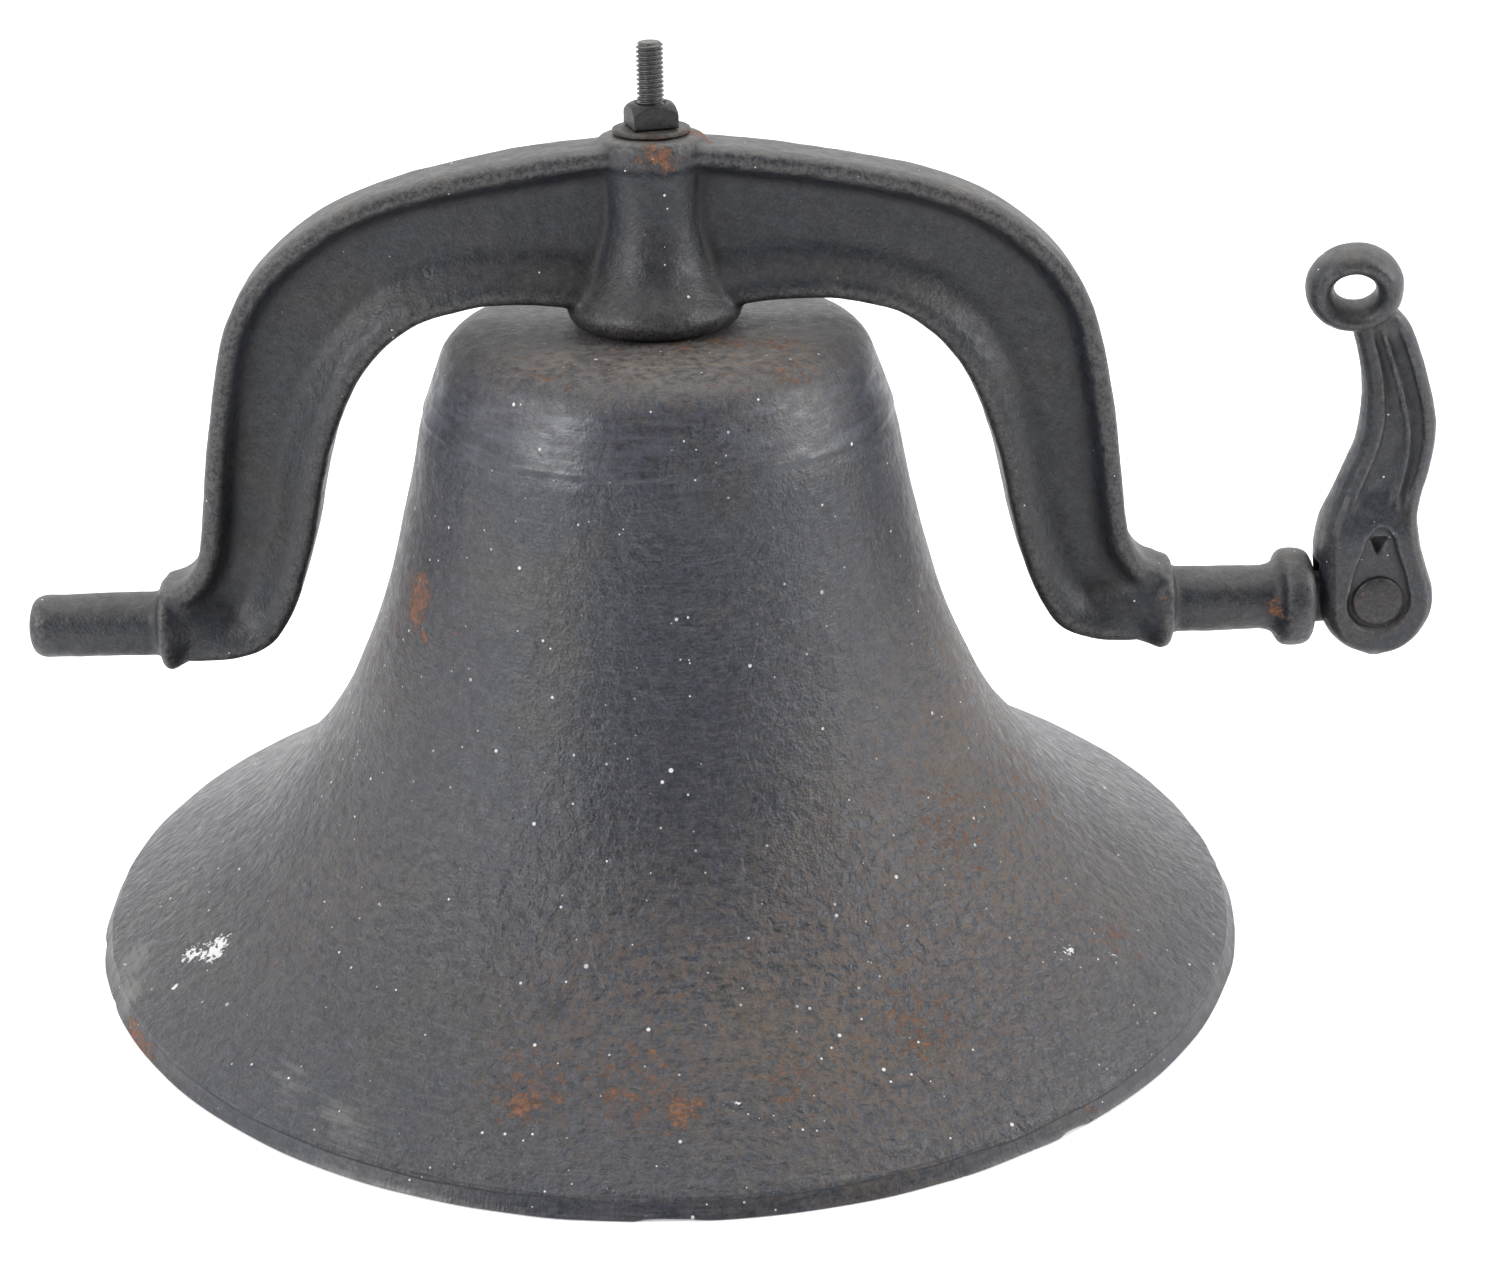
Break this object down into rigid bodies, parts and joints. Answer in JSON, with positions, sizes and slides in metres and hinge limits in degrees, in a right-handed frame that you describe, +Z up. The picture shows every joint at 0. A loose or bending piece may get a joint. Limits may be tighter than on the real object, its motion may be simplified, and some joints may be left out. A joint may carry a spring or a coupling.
{
  "type": "yard dinner bell",
  "caption": "Cast bell hung on a bolt from an arched yoke with round journals, with a clapper inside and a hinged rope lever on one journal.",
  "frame": {"origin": "on the floor plane under the middle of the object's box; the bell's own axis is 25.7 mm to the -X side of it", "axes": "+X along the yoke's journals towards the rope lever, +Y away from the viewer of the front, +Z up along the bell's axis"},
  "size_m": [0.5194, 0.4318, 0.329],
  "materials": {
    "bell_paint": "weathered dark grey paint over rough cast iron, rust spots",
    "yoke_paint": "dark grey paint over cast iron, dusty on top",
    "lever_paint": "dark grey paint over cast iron, dusty sides",
    "clapper_iron": "bare cast iron, dull brown rust",
    "bolt_steel": "darkened threaded steel",
    "nut_steel": "dark square steel nut, rusty foot",
    "washer_steel": "dark steel with rust",
    "pin_steel": "dark steel, rusty rim",
    "cotter_steel": "dull drawn wire"
  },
  "bodies": {
    "hung_bell": {"bell": "bell_paint", "yoke": "yoke_paint", "hanger_bolt": "bolt_steel", "square_nut": "nut_steel", "flat_washer": "washer_steel", "crown_washer": "washer_steel", "clapper_pin": "pin_steel", "cotter_pin": "cotter_steel", "lever_pin": "pin_steel"},
    "clapper": {"clapper": "clapper_iron"},
    "lever": {"pull_lever": "lever_paint"}
  },
  "joints": [
    {"name": "clapper_swing", "type": "hinge", "parent": "hung_bell", "child": "clapper", "pos_m": [-0.0257, 0, 0.192], "axis": [1, 0, 0], "range_deg": [-36, 36]},
    {"name": "lever_fold", "type": "hinge", "parent": "hung_bell", "child": "lever", "pos_m": [0.2378, 0, 0.1195], "axis": [0, 1, 0], "range_deg": [-5, 90]}
  ]
}
